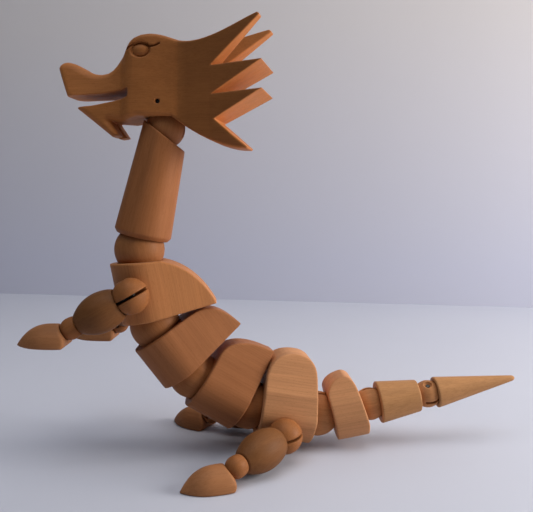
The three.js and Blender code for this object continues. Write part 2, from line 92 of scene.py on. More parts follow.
# Balls, with stem, saw cut and cross hole
BODY_BALL = 14.8
NECK_BALL = 14.6
HEAD_BALL = 11.4
LIMB_BALL = 10.3
SMALL_BALL = 6.3
TAIL_BALLS = {"tail_base": 13.6, "tail_middle": 10, "tail_tip": 8.4}
SEAT_GAP = 0.35
STEM_RADIUS = 3
SMALL_STEM_RADIUS = 2.2
LONG_REACH = 6
SHORT_REACH = 3.1
KERF = 1.7
KERF_DEPTH = 3.4
PIN_HOLE = 1.35
PIN_HOLE_START = 0.7
HOLE_MOUTH = 2.4
HOLE_MOUTH_START = 0.82
DRUM_BACK = 4.3
DRUM_RIM = 0.5
DRUM_SHARES = (0.86, 0.92, 0.98)
SMALL_HOLE_SHARE = 0.3

# Turned pieces
NECK_RADII = (12.6, 16.6)
NECK_TOP = -8
NECK_FOOT_GAP = 7.5
NECK_CHAMFER = (2.4, 1.8)
NECK_SLANT = 25.5
NECK_SLANT_START = 4
TAIL_MIDDLE_RADII = (12.9, 9.8)
TAIL_MIDDLE_FRONT = 5.2
TAIL_MIDDLE_REAR_GAP = 6
TAIL_TIP_RADII = (9.6, 1.9)
TAIL_TIP_FRONT = 4.8
TAIL_TIP_NOSE = 2.5
TAIL_CHAMFER = 0.6
TAIL_REAR_CHAMFER = 0.5

# Limbs: an egg as shares of its reach and radius, and a paw with a flat sole
SHOULDER_SEAT = (23.8, 25, -7.1)
HIP_SEAT = (20.2, 25, -8.3)
LIMB_LENGTH = {"arm": 38, "leg": 40.5}
EGG_FRONT = 7
EGG_RADIUS = 11.6
EGG_END_SHARES = (0.7, 0.47)
EGG_SHARES = ((0.02, 0.75), (0.3, 1.05), (0.62, 1.12), (0.84, 0.78), (0.985, 0.53))
WRIST_GAP = 4.6
SOLE_DROP = 10
PAW_LENGTH = 31.4
PAW_HEIGHT = 12.7
PAW_NARROWING = 0.8
PAW_WIDEST = 0.31
PAW_TIP_POWER = 2.85
PAW_HEEL_POWER = 2.4
PAW_HEEL_LOSS = 0.15
PAW_FIELD_SCALE = 0.75
PAW_BACK = {"start": 4.7, "lean": 30}
PAW_HEEL = {"start": 2.9, "lean": -25}
PAW_EDGES = {"heel": 2.5, "rear": 1.4, "sole": 1}

# Head: side outline, plan and section, in the frame of the head
HEAD_TOP_START = (-65.2, 35.6)
HEAD_TOP = (
    ((-64.5, 38.8), (-60.5, 39.8), (-56.4, 38.6)),
    ((-48, 36.4), (-45, 30.8), (-36, 30.6)),
    ((-22, 30.4), (-23.5, 51), (-4.5, 51)),
    ((6, 50.6), (9.5, 46.3), (19, 46.2)),
    ((33, 46.4), (45, 53.4), (57.8, 57.9)),
)
CREST = [
    (59.3, 57), (58.9, 56.2), (30.7, 32.1), (60.6, 34), (31, 16.8), (60.4, 18.7), (32.4, 3.2),
    (50.6, -12), (49.8, -13),
]
NAPE = ((36, -13.2), (21, -5), (7, 5.4))
CHIN = [
    (-13, 5.4), (-21, 3.2), (-30.4, 3.8), (-24.6, -4.8), (-28.9, -5.6), (-51.8, 11.8), (-52.6, 12.4),
    (-53, 14), (-57.8, 18.5),
]
MOUTH = [
    (-70, 11), (-51.8, 11.8), (-40.7, 12.4), (-17.8, 15.9), (-17, 16.8), (-17, 20.4), (-17.8, 21.1),
    (-35.3, 18.9), (-57.8, 18.5), (-70, 18.5),
]
HEAD_PLAN_START = (-66, 6)
HEAD_PLAN = (
    ((-58.5, 11.5), (-43, 8), (-23, 11.5)),
    ((-20, 13), (-19, 16.5), (-14, 16.4)),
    ((-7, 16.2), (4, 13.6), (11, 12)),
    ((21, 15.2), (42, 18.2), (62, 20)),
)
HEAD_SECTION = [
    (24, 70), (-24, 70), (-24, 14), (-17.5, 4.5), (-7.5, -14), (7.5, -14), (17.5, 4.5), (24, 14),
]
SNOUT_LEAN = {"x": (-60, -30, -14), "lean": (0.02, 0.014, 0), "level": 28, "reach": (-15, 9)}
CREST_LEAN = {"x": (8, 30), "lean": (0, 0.0055), "level": 45}
HEAD_SOFTNESS = {"x": (-60, -30, -15, 5, 30), "edge": (4.5, 4, 3, 2, 0.9)}
HORN_GAP = [(29, 0), (67, -18), (67, 18)]
HORN_LEVEL = 36
FANG_GAP = [(-31.5, 0), (-20, -4.1), (-20, 4.1)]
FANG_LEVEL = 2.6
HEAD_EDGES = {"section": 1.5, "mouth": 0.4, "horns": 0.8, "fangs": 0.4, "holes": 0.2}
HEAD_PIN_RISE = 13.4

# Carving of the head
EYE = {"x": -9.6, "z": 41.7, "half_length": 4.7, "half_height": 3.4, "bulge": 2, "hollow": 2}
EYE_RIM = {"outer": 1.3, "width": 0.3}
EYE_FLANK = {"start": 4, "width": 3}
LID = [
    (-18, 42.6), (-14.4, 44.7), (-11.6, 45.7), (-8.3, 46), (-5.6, 44.8), (-4.2, 43.7), (-1.8, 44),
    (0.8, 45.2),
]
LID_HALF_WIDTH = 0.6
LID_DEPTH = 2
NOSTRIL = {"x": -47.5, "y": 4.5, "z": 35.6, "radius": 1.1}

# Rest pose, in degrees. Bend is toward the back, spin turns a ball in its parent, twist turns the child.
PELVIS = {"pitch": 10.3, "yaw": 8}
POSE = {
    "belly": {"bend": 21.6, "spin": 0, "twist": 5},
    "abdomen": {"bend": 21.9, "spin": 0, "twist": 0.5},
    "chest": {"bend": 25.8, "spin": 0, "twist": -7},
    "neck": {"bend": 23.8, "spin": -4.4, "twist": 0.9},
    "head": {"bend": -12.5, "spin": -9.5, "twist": -2.6},
    "tail_base": {"bend": 19.5, "spin": 11, "twist": -11},
    "tail_middle": {"bend": -0.3, "spin": 0, "twist": 0},
    "tail_tip": {"bend": 1, "spin": -62, "twist": 62},
}
# A leg has no drop of its own: it reaches down until the sole lies on the table
LIMBS = {
    "left_arm": {"heading": 180, "drop": 28.5, "paw": 178},
    "right_arm": {"heading": 133, "drop": 46, "paw": 176},
    "left_leg": {"heading": 227.5, "paw": 199},
    "right_leg": {"heading": 172, "paw": 150},
}

# Fineness of the meshes and softness of the sanded edges
STEP = 0.55
FINE_STEP = 0.42
BAND_CELLS = 3
EDGE = 0.6
SEAT_EDGE = 0.4
SMALL_HOLE_EDGE = 0.2
FINE_EDGE = 0.15

# Grain of the wood: scale, detail and stretch along X of a noise, and its dark and light end
YEARS = {"noise": (260, 1.5, 14), "dark": (0.36, 0.95), "light": (0.64, 1.05)}
STREAKS = {
    "noise": (1500, 1.5, 45), "dark": (0.34, (0.885, 0.868, 0.85)), "light": (0.6, (0.99, 0.99, 0.99)),
}
CLOUDS = {"noise": (30, 2, 2), "dark": (0.3, (0.92, 0.9, 0.88)), "light": (0.7, (1, 1, 1))}
PORES = {"noise": (3200, 1, 6), "dark": (0.27, (0.86, 0.82, 0.78)), "light": (0.4, (1, 1, 1))}
VARNISH = {"noise": (300, 3, 6), "dark": (0.3, (0.46, 0.46, 0.46)), "light": (0.7, (0.6, 0.6, 0.6))}
WOOD_SPECULAR = 0.12
PORE_STRENGTH = 0.1
PORE_DEPTH = 0.0002
# How far a crest face points sideways, from notch faces given painted light to flanks given painted shade
CREST_FACING_LIT_TO_SHADED = (0.45, 0.85)

# The pieces come from different boards: pale at the tail, dark in the limbs. The limb wood is also darkened
# as painted shade, for the shadow of the body on the limbs
TONES = {
    "head_wood": (0.415, 0.15, 0.043),
    "neck_wood": (0.37, 0.137, 0.048),
    "chest_wood": (0.53, 0.214, 0.078),
    "middle_wood": (0.38, 0.146, 0.056),
    "pelvis_wood": (0.61, 0.285, 0.128),
    "tail_wood": (0.5, 0.246, 0.102),
    "limb_wood": (0.205, 0.082, 0.028),
    "paw_wood": (0.4, 0.168, 0.068),
    "ball_wood": (0.37, 0.144, 0.051),
    "tail_ball_wood": (0.53, 0.234, 0.092),
    "limb_ball_wood": (0.33, 0.123, 0.04),
}
BLOCK_WOODS = {
    "chest": "chest_wood", "abdomen": "middle_wood", "belly": "middle_wood", "pelvis": "pelvis_wood",
    "tail_base": "pelvis_wood", "tail_middle": "tail_wood", "tail_tip": "tail_wood",
    "neck": "neck_wood", "head": "head_wood",
}
# Painted light on the head wood: the snout is painted paler toward its front
SNOUT_PAINTED_LIGHT = {"span": (-18, -58), "gain": 1.4}
# Painted shade on the crest flanks and painted light on its notch faces, behind the crease
CREST_PAINTED_LIGHT_AND_SHADE = {"span": (9, 17), "painted_shade_gain": 0.76, "painted_light_gain": 1.35}

# Table, wall and light, in metres
TABLE_LEFT = -1
TABLE_RIGHT = 1.2
TABLE_FRONT = -1
WALL_LEFT = 0.654
WALL_RIGHT = 0.329
WALL_HEIGHT = 1.1
# Heights over which the wall's painted light goes from cool near the table to warm above
WALL_PAINTED_LIGHT_HEIGHTS = (0.05, 0.36)
LIGHTS = {
    "window": {
        "at": (0.9, -0.1, 0.37), "toward": (0, 0, 0.1), "size": 0.45, "power": 9.4,
        "colour": (1, 0.98, 0.95),
    },
    "ceiling": {
        "at": (0.2, -0.15, 1.5), "toward": (0, 0, 0.1), "size": 1.3, "power": 11.8,
        "colour": (1, 0.98, 0.96),
    },
    "sky": {
        "at": (-0.5, -0.35, 1.1), "toward": (-0.2, -0.1, 0), "size": 0.8, "power": 2.5,
        "colour": (0.6, 0.78, 1),
    },
}
GLOW = {"colour": (0.9, 0.82, 0.78), "strength": 0.02}
BACKDROP = (0.55, 0.545, 0.59)

# Camera: its place from the front of the pelvis, and its view in pixels of the picture
CAMERA_OFFSET = (11, -410.8, 139.3)
CAMERA_TILT = 6.73
PICTURE_WIDTH = 533
FOCAL_PIXELS = 696.2
SENSOR_WIDTH = 36


# Frames of all pieces, in millimetres
def turn(axis, degrees):
    return Matrix.Rotation(math.radians(degrees), 4, axis)


def shift(x, y=0, z=0):
    return Matrix.Translation((x, y, z))


def bent(base, pose):
    return base @ turn("X", pose["spin"]) @ turn("Y", -pose["bend"]) @ turn("X", pose["twist"])


HALF_TURN = turn("Z", 180)
HEAD_AXES = Matrix(((0, 0, 1, 0), (0, -1, 0, 0), (1, 0, 0, 0), (0, 0, 0, 1)))
joints = {joint["name"]: joint for joint in frame["joints"]}
places = {}
hole_directions = {}


def place_trunk():
    lumbar = Vector(joints["belly_turn"]["pos_m"]) / MM
    places["pelvis"] = shift(*lumbar) @ turn("Z", PELVIS["yaw"]) @ turn("Y", PELVIS["pitch"])
    parent = places["pelvis"]
    for name in ("belly", "abdomen", "chest", "neck"):
        base = parent @ HALF_TURN
        places[f"{name}_ball"] = base @ turn("X", POSE[name]["spin"])
        parent = bent(base, POSE[name]) @ shift(LENGTH[name]) @ HALF_TURN
        places[name] = parent
    base = parent @ HALF_TURN
    places["head_ball"] = base @ turn("X", POSE["head"]["spin"])
    places["head"] = bent(base, POSE["head"]) @ HEAD_AXES


def place_tail():
    parent = places["pelvis"]
    length = LENGTH["pelvis"]
    for name in ("tail_base", "tail_middle", "tail_tip"):
        base = parent @ shift(length)
        places[f"{name}_ball"] = base @ turn("X", POSE[name]["spin"])
        parent = bent(base, POSE[name])
        places[name] = parent
        length = LENGTH[name]


def place_limb(block, seat, side, limb, names, length):
    base = places[block] @ shift(seat[0], side * seat[1], seat[2]) @ turn("Z", side * 90)
    drop = limb.get("drop")
    if drop is None:
        drop = math.degrees(math.asin((base.translation.z - SOLE_DROP) / length))
    along = turn("Z", limb["heading"]) @ turn("Y", drop) @ Vector((1, 0, 0))
    local = base.to_3x3().inverted() @ along
    spun = base @ turn("X", math.degrees(math.atan2(local.y, -local.z)))
    egg_place = spun @ turn("Y", math.degrees(math.acos(local.x)))
    end = egg_place @ shift(length)
    places[f"{names['ball']}_ball"] = spun
    places[names["egg"]] = egg_place
    places[f"{names['small']}_ball"] = end
    level = turn("Z", limb["paw"])
    places[names["paw"]] = shift(*end.translation) @ level
    # The cross hole of the small ball opens toward the other side of the body
    inward = level @ Vector((0, -side * math.copysign(1, math.cos(math.radians(limb["paw"]))), 0))
    hole_directions[names["small"]] = end.to_3x3().inverted() @ inward


LIMB_NAMES = {}
for hand in ("left", "right"):
    LIMB_NAMES[f"{hand}_arm"] = {
        "ball": f"{hand}_shoulder", "egg": f"{hand}_upper_arm",
        "small": f"{hand}_wrist", "paw": f"{hand}_hand",
    }
    LIMB_NAMES[f"{hand}_leg"] = {
        "ball": f"{hand}_hip", "egg": f"{hand}_thigh",
        "small": f"{hand}_ankle", "paw": f"{hand}_foot",
    }

place_trunk()
place_tail()
for limb_name, limb_pieces in LIMB_NAMES.items():
    limb_side = -1 if limb_name.startswith("left") else 1
    if limb_name.endswith("arm"):
        place_limb("chest", SHOULDER_SEAT, limb_side, LIMBS[limb_name], limb_pieces, LIMB_LENGTH["arm"])
    else:
        place_limb("pelvis", HIP_SEAT, limb_side, LIMBS[limb_name], limb_pieces, LIMB_LENGTH["leg"])


# Distance fields: negative inside the wood
class Space:
    """Points of a regular grid, as three arrays that broadcast."""

    def __init__(self, low, high, step):
        margin = BAND_CELLS * step
        axes = [np.arange(a - margin, b + margin, step) for a, b in zip(low, high)]
        self.low = [axis[0] for axis in axes]
        self.step = step
        self.x, self.y, self.z = np.meshgrid(*axes, indexing="ij", sparse=True)


def polygon(points, u, v):
    u, v = np.broadcast_arrays(u, v)
    nearest = np.full(u.shape, np.inf)
    inside = np.zeros(u.shape, bool)
    for (start_u, start_v), (end_u, end_v) in zip(points, points[1:] + points[:1]):
        run_u = end_u - start_u
        run_v = end_v - start_v
        along = np.clip(((u - start_u) * run_u + (v - start_v) * run_v) / (run_u ** 2 + run_v ** 2), 0, 1)
        gap = (u - start_u - along * run_u) ** 2 + (v - start_v - along * run_v) ** 2
        nearest = np.minimum(nearest, gap)
        if run_v != 0:
            crosses = (start_v > v) != (end_v > v)
            inside ^= crosses & (u < start_u + (v - start_v) * run_u / run_v)
    return np.where(inside, -1, 1) * np.sqrt(nearest)


def sphere(space, radius, at=(0, 0, 0)):
    gap = (space.x - at[0]) ** 2 + (space.y - at[1]) ** 2 + (space.z - at[2]) ** 2
    return np.sqrt(gap) - radius


def both(a, b, edge=0.0):
    """What lies in a and in b, with the edge between them rounded."""
    outside = np.sqrt(np.maximum(a + edge, 0) ** 2 + np.maximum(b + edge, 0) ** 2)
    return np.minimum(np.maximum(a, b) + edge, 0) + outside - edge


def cut(a, b, edge=0.0):
    return both(a, -b, edge)


def seat(space, field, radius, at=(0, 0, 0)):
    """Cuts the hollow that a ball turns in."""
    return cut(field, sphere(space, radius + SEAT_GAP, at), SEAT_EDGE)


def bezier(*points, count=10):
    """Points of a curve of any order, without its first one."""
    result = []
    order = len(points) - 1
    for i in range(1, count + 1):
        t = i / count
        weights = [math.comb(order, k) * t ** k * (1 - t) ** (order - k) for k in range(order + 1)]
        result.append(tuple(sum(w * p[axis] for w, p in zip(weights, points)) for axis in (0, 1)))
    return result


def chain(start, curves):
    """Points of curves that each begin where the last one ends."""
    points = [start]
    for curve in curves:
        points += bezier(points[-1], *curve)
    return points


def turned(space, profile):
    """A lathe-turned piece along X from [x, radius] points, each end closed flat."""
    radius = np.sqrt(space.y ** 2 + space.z ** 2)
    below_axis = -5
    points = [(profile[0][0], below_axis), *profile, (profile[-1][0], below_axis)]
    return polygon(points, space.x, radius)


def leaning(space, start, lean, level=0):
    """Distance past a plane across X that leans by some degrees and starts at the given level."""
    angle = math.radians(lean)
    return math.cos(angle) * (space.x - start) - math.sin(angle) * (space.z - level)


def build(name, space, field, body, material):
    """Meshes a field in the frame of its piece and puts it in place of the CAD node of that name."""
    band = BAND_CELLS * space.step
    grid = openvdb.FloatGrid(band)
    grid.copyFromArray(np.clip(field, -band, band).astype(np.float32))
    points, quads = grid.convertToQuads(0.0)
    points = (points * space.step + np.array(space.low)) * MM
    mesh = bpy.data.meshes.new(name)
    mesh.from_pydata(points.tolist(), [], quads[:, ::-1].tolist())
    mesh.shade_smooth()
    mesh.materials.append(material)
    piece = bpy.data.objects.new(f"{name}_wood", mesh)
    bpy.context.collection.objects.link(piece)
    place = places[name].copy()
    place.translation *= MM
    piece.matrix_world = place
    bpy.context.view_layer.update()
    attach(piece, body)
    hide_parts(name)
    return piece


# Blocks of the trunk and the tail
def body_outline(name, belly_front, belly_rear):
    sizes = OUTLINE[name]
    length = LENGTH[name]
    crown = (length + sizes["crown"][0], sizes["crown"][1])
    hock = (length + sizes["heel"], sizes.get("hock", 0))
    tip = (length + sizes["tip"][0], sizes["tip"][1])
    top = [tip, crown]
    if sizes.get("arched"):
        below_tip = tuple((1 - ARCH_START) * low + ARCH_START * high for low, high in zip(hock, tip))
        top = [below_tip, *bezier(below_tip, tip, crown)]
    return [
        (sizes["foot"], -belly_front),
        (length + sizes["heel"], -belly_rear),
        hock,
        *top,
        *bezier(crown, sizes["bulge"], sizes["rise"]),
    ]


def body_section(radius, ridge, height, creased):
    """A round belly that runs into two planes up to the ridge, smoothly or with a soft crease."""
    tangent = math.atan2(height, ridge) - math.acos(radius / math.hypot(ridge, height))
    crease = []
    if creased:
        tangent = 0
        crease = [(CREASE[0] * radius, CREASE[1] * height)]
    points = [(ridge, height), (-ridge, height)]
    points += [(-y, z) for y, z in crease]
    for i in range(BELLY_STEPS + 1):
        angle = math.pi - tangent + (math.pi + 2 * tangent) * i / BELLY_STEPS
        points.append((radius * math.cos(angle), radius * math.sin(angle)))
    return points + crease


def body_block(name, radius, ridge, front_ball, rear_ball, limb_seat=None, belly=None):
    height = OUTLINE[name]["crown"][1] + RIDGE_SPARE
    belly = belly or (radius + BELLY_SPARE, radius + BELLY_SPARE)
    space = Space((0, -radius, -radius), (LENGTH[name], radius, height), STEP)
    side = polygon(body_outline(name, *belly), space.x, space.z)
    section = polygon(body_section(radius, ridge, height, name in CREASED), space.y, space.z)
    field = both(side, section, EDGE)
    field = seat(space, field, front_ball)
    field = seat(space, field, rear_ball, (LENGTH[name], 0, 0))
    if limb_seat:
        for side_sign in (-1, 1):
            field = seat(space, field, LIMB_BALL, (limb_seat[0], side_sign * limb_seat[1], limb_seat[2]))
    return space, field


# Turned pieces
def neck():
    length = LENGTH["neck"]
    foot = length - NECK_FOOT_GAP
    top_radius, foot_radius = NECK_RADII
    space = Space((NECK_TOP, -17, -17), (foot, 17, 17), STEP)
    field = turned(space, [
        (NECK_TOP, top_radius),
        (foot - NECK_CHAMFER[0], foot_radius),
        (foot, foot_radius - NECK_CHAMFER[1]),
    ])
    above = leaning(space, NECK_SLANT_START, NECK_SLANT)
    field = cut(field, above + 0 * space.y, EDGE)
    field = seat(space, field, HEAD_BALL)
    return space, seat(space, field, NECK_BALL, (length, 0, 0))


def tail_middle():
    length = LENGTH["tail_middle"]
    rear = length - TAIL_MIDDLE_REAR_GAP
    front_radius, rear_radius = TAIL_MIDDLE_RADII
    space = Space((5, -13, -13), (rear, 13, 13), FINE_STEP)
    field = turned(space, [
        (TAIL_MIDDLE_FRONT, front_radius - TAIL_CHAMFER),
        (TAIL_MIDDLE_FRONT + TAIL_CHAMFER, front_radius),
        (rear - TAIL_CHAMFER, rear_radius),
        (rear, rear_radius - TAIL_REAR_CHAMFER),
    ])
    field = seat(space, field, TAIL_BALLS["tail_middle"])
    return space, seat(space, field, TAIL_BALLS["tail_tip"], (length, 0, 0))


def tail_tip():
    end = LENGTH["tail_tip"]
    front_radius, rear_radius = TAIL_TIP_RADII
    space = Space((4, -10, -10), (end, 10, 10), FINE_STEP)
    nose_start = (end - TAIL_TIP_NOSE, rear_radius)
    field = turned(space, [
        (TAIL_TIP_FRONT, front_radius - TAIL_CHAMFER),
        (TAIL_TIP_FRONT + TAIL_CHAMFER, front_radius),
        nose_start,
        *bezier(nose_start, (end - 0.4, rear_radius - 0.3), (end, 0.3), count=5),
    ])
    return space, seat(space, field, TAIL_BALLS["tail_tip"])


def egg(length):
    end = length - WRIST_GAP
    reach = end - EGG_FRONT
    space = Space((6, -12, -12), (end, 12, 12), FINE_STEP)
    curve = [(EGG_FRONT + along * reach, out * EGG_RADIUS) for along, out in EGG_SHARES]
    field = turned(space, [
        (EGG_FRONT, EGG_END_SHARES[0] * EGG_RADIUS),
        *bezier(*curve, count=16),
        (end, EGG_END_SHARES[1] * EGG_RADIUS),
    ])
    field = seat(space, field, LIMB_BALL)
    return space, seat(space, field, SMALL_BALL, (length, 0, 0))


def paw():
    space = Space((-2, -11, -SOLE_DROP), (PAW_LENGTH, 11, 3), FINE_STEP)
    share = (space.x + 1) / (PAW_LENGTH + 1)
    toward_tip = np.clip((share - PAW_WIDEST) / (1 - PAW_WIDEST), 0, 1)
    toward_heel = np.clip((PAW_WIDEST - share) / PAW_WIDEST, 0, 1.3)
    fullness = 1 - toward_tip ** PAW_TIP_POWER - PAW_HEEL_LOSS * toward_heel ** PAW_HEEL_POWER
    across = np.sqrt((space.y / PAW_NARROWING) ** 2 + (space.z + SOLE_DROP) ** 2)
    field = (across - PAW_HEIGHT * fullness) * PAW_FIELD_SCALE
    upper = leaning(space, PAW_BACK["start"], PAW_BACK["lean"])
    lower = leaning(space, PAW_HEEL["start"], PAW_HEEL["lean"], -SOLE_DROP)
    rear = both(-upper, -lower, PAW_EDGES["heel"])
    field = both(field, rear + 0 * across, PAW_EDGES["rear"])
    field = both(field, -SOLE_DROP - space.z + 0 * across, PAW_EDGES["sole"])
    return space, seat(space, field, SMALL_BALL)


# Balls
def stem(space, radius, end):
    across = np.sqrt(space.y ** 2 + space.z ** 2)
    return np.maximum(across - radius, np.maximum(end - space.x, space.x))


def joint_ball(radius, reach, hole_side):
    """A ball with a stem, a saw cut on the side of the child and a cross hole that opens on one side."""
    space = Space((-radius - reach, -radius, -radius), (radius, radius, radius), STEP)
    field = np.minimum(sphere(space, radius), stem(space, STEM_RADIUS, -radius - reach))
    saw = np.maximum(np.abs(space.y) - KERF / 2, -KERF_DEPTH - space.x)
    field = cut(field, saw, FINE_EDGE)
    from_pin = np.sqrt(space.x ** 2 + space.z ** 2)
    depth = -hole_side * space.y - PIN_HOLE_START * radius
    field = cut(field, np.maximum(from_pin - PIN_HOLE, depth), FINE_EDGE)
    mouth = np.maximum(from_pin - HOLE_MOUTH, HOLE_MOUTH_START * radius - hole_side * space.y)
    return space, cut(field, mouth, FINE_EDGE)


def small_ball(hole_direction):
    """A ball with a drum and a stem on the side of the egg, and a blind cross hole."""
    end = -SMALL_BALL - SHORT_REACH
    space = Space((end, -SMALL_BALL, -SMALL_BALL), (SMALL_BALL,) * 3, FINE_STEP)
    drum = turned(space, [
        (-DRUM_BACK, DRUM_SHARES[0] * SMALL_BALL),
        (DRUM_RIM - DRUM_BACK, DRUM_SHARES[1] * SMALL_BALL),
        (-2, DRUM_SHARES[2] * SMALL_BALL),
        (0, SMALL_BALL),
        (1, SMALL_BALL),
    ])
    field = np.where(space.x > 0, sphere(space, SMALL_BALL), drum)
    field = np.minimum(field, stem(space, SMALL_STEM_RADIUS, end))
    along = space.x * hole_direction.x + space.y * hole_direction.y + space.z * hole_direction.z
    aside = np.sqrt(np.maximum(space.x ** 2 + space.y ** 2 + space.z ** 2 - along ** 2, 0))
    hole = np.maximum(aside - SMALL_HOLE_SHARE * SMALL_BALL, -along)
    return space, cut(field, hole, SMALL_HOLE_EDGE)


# Head
def head_outline():
    points = chain(HEAD_TOP_START, HEAD_TOP) + CREST
    return points + bezier(CREST[-1], *NAPE) + CHIN


def head_plan():
    points = chain(HEAD_PLAN_START, HEAD_PLAN)
    return points + [(x, -y) for x, y in reversed(points)]


def head_width(space):
    """How much wider the plan is at a height: the upper snout narrows upward, the crest downward."""
    below = np.clip(SNOUT_LEAN["level"] - space.z, *SNOUT_LEAN["reach"])
    snout = np.interp(space.x, SNOUT_LEAN["x"], SNOUT_LEAN["lean"]) * below
    crest = np.interp(space.x, CREST_LEAN["x"], CREST_LEAN["lean"]) * (space.z - CREST_LEAN["level"])
    return 1 + snout + crest


def head():
    space = Space((-67, -21, -15), (63, 21, 59), FINE_STEP)
    side = polygon(head_outline(), space.x, space.z)
    plan = polygon(head_plan(), space.x, space.y / head_width(space))
    field = both(side, plan, np.interp(space.x, HEAD_SOFTNESS["x"], HEAD_SOFTNESS["edge"]))
    field = both(field, polygon(HEAD_SECTION, space.y, space.z), HEAD_EDGES["section"])
    field = cut(field, polygon(MOUTH, space.x, space.z) + 0 * space.y, HEAD_EDGES["mouth"])
    horns = both(polygon(HORN_GAP, space.x, space.y), HORN_LEVEL - space.z)
    field = cut(field, horns, HEAD_EDGES["horns"])
    fangs = both(polygon(FANG_GAP, space.x, space.y), space.z - FANG_LEVEL)
    field = cut(field, fangs, HEAD_EDGES["fangs"])
    field = carve_lids(space, carve_eyes(space, field))
    for side_sign in (-1, 1):
        nostril = sphere(space, NOSTRIL["radius"], (NOSTRIL["x"], side_sign * NOSTRIL["y"], NOSTRIL["z"]))
        field = cut(field, nostril, HEAD_EDGES["holes"])
    field = seat(space, field, HEAD_BALL)
    hole = np.sqrt(space.x ** 2 + (space.z - HEAD_PIN_RISE) ** 2) - PIN_HOLE
    return space, cut(field, hole + 0 * space.y, HEAD_EDGES["holes"])


def carve_eyes(space, field):
    """A bulging eye in a hollow on each side."""
    along = (space.x - EYE["x"]) / EYE["half_length"]
    upward = (space.z - EYE["z"]) / EYE["half_height"]
    oval = np.sqrt(along ** 2 + upward ** 2)
    bulge = EYE["bulge"] * np.sqrt(np.clip(1 - oval ** 2, 0, 1))
    hollow = EYE["hollow"] * np.clip((EYE_RIM["outer"] - oval) / EYE_RIM["width"], 0, 1)
    flank = np.clip((np.abs(space.y) - EYE_FLANK["start"]) / EYE_FLANK["width"], 0, 1)
    return field + (hollow - bulge) * flank


def carve_lids(space, field):
    """A lid line above each eye that runs out into a brow."""
    line = np.inf
    for (start_x, start_z), (end_x, end_z) in zip(LID, LID[1:]):
        run_x = end_x - start_x
        run_z = end_z - start_z
        along = ((space.x - start_x) * run_x + (space.z - start_z) * run_z) / (run_x ** 2 + run_z ** 2)
        along = np.clip(along, 0, 1)
        gap = np.hypot(space.x - start_x - along * run_x, space.z - start_z - along * run_z)
        line = np.minimum(line, gap)
    groove = np.maximum(line - LID_HALF_WIDTH + 0 * space.y, -field - LID_DEPTH)
    return np.maximum(field, -groove)


# Materials
class Surface:
    """A new material, with helpers that add nodes to it and link them."""

    def __init__(self, name):
        self.material = bpy.data.materials.new(name)
        self.material.use_nodes = True
        self.nodes = self.material.node_tree.nodes
        self.links = self.material.node_tree.links
        self.shader = self.nodes["Principled BSDF"]
        self.place = self.nodes.new("ShaderNodeTexCoord")

    def feed(self, socket, source):
        self.links.new(source, self.shader.inputs[socket])

    def keep(self, socket, value):
        self.shader.inputs[socket].default_value = value

    def noise(self, vector, scale, detail, stretch=1):
        mapping = self.nodes.new("ShaderNodeMapping")
        mapping.inputs["Scale"].default_value = (scale / stretch, scale, scale)
        self.links.new(vector, mapping.inputs["Vector"])
        texture = self.nodes.new("ShaderNodeTexNoise")
        texture.inputs["Scale"].default_value = 1
        texture.inputs["Detail"].default_value = detail
        self.links.new(mapping.outputs[0], texture.inputs["Vector"])
        return texture.outputs["Fac"]

    def ramp(self, source, *stops):
        node = self.nodes.new("ShaderNodeValToRGB")
        for element, (position, colour) in zip(node.color_ramp.elements, stops):
            element.position = position
            element.color = (*colour, 1)
        self.links.new(source, node.inputs[0])
        return node.outputs[0]

    def multiply(self, a, b):
        node = self.nodes.new("ShaderNodeMix")
        node.data_type = "RGBA"
        node.blend_type = "MULTIPLY"
        node.inputs["Factor"].default_value = 1
        self.links.new(a, node.inputs["A"])
        self.links.new(b, node.inputs["B"])
        return node.outputs["Result"]

    def scaled(self, source, span, values):
        node = self.nodes.new("ShaderNodeMapRange")
        sockets = ("From Min", "From Max", "To Min", "To Max")
        for socket, value in zip(sockets, (*span, *values)):
            node.inputs[socket].default_value = value
        self.links.new(source, node.inputs["Value"])
        return node.outputs[0]

    def part_of(self, vector, axis):
        split = self.nodes.new("ShaderNodeSeparateXYZ")
        self.links.new(self.place.outputs[vector], split.inputs[0])
        return split.outputs[axis]

    def along(self, span, values):
        """A value that changes evenly along the piece, over a span in millimetres."""
        return self.scaled(self.part_of("Object", "X"), [end * MM for end in span], values)


def scattered(surface):
    """The place on a piece, moved by its own random amount so that no two pieces share their grain."""
    info = surface.nodes.new("ShaderNodeObjectInfo")
    scatter = surface.nodes.new("ShaderNodeCombineXYZ")
    for socket in ("X", "Y", "Z"):
        surface.links.new(info.outputs["Random"], scatter.inputs[socket])
    offset = surface.nodes.new("ShaderNodeVectorMath")
    surface.links.new(surface.place.outputs["Object"], offset.inputs[0])
    surface.links.new(scatter.outputs[0], offset.inputs[1])
    return offset.outputs[0]


def crest_painted_light_and_shade(surface):
    """Painted shade on the crest flanks and painted light on its notch faces, by where a face lies and
    which way it points.
    """
    sideways = surface.nodes.new("ShaderNodeMath")
    sideways.operation = "ABSOLUTE"
    surface.links.new(surface.part_of("Normal", "Y"), sideways.inputs[0])
    gains = (CREST_PAINTED_LIGHT_AND_SHADE["painted_light_gain"], CREST_PAINTED_LIGHT_AND_SHADE["painted_shade_gain"])
    node = surface.nodes.new("ShaderNodeMix")
    node.inputs["A"].default_value = 1
    surface.links.new(surface.along(CREST_PAINTED_LIGHT_AND_SHADE["span"], (0, 1)), node.inputs["Factor"])
    surface.links.new(surface.scaled(sideways.outputs[0], CREST_FACING_LIT_TO_SHADED, gains), node.inputs["B"])
    return node.outputs["Result"]


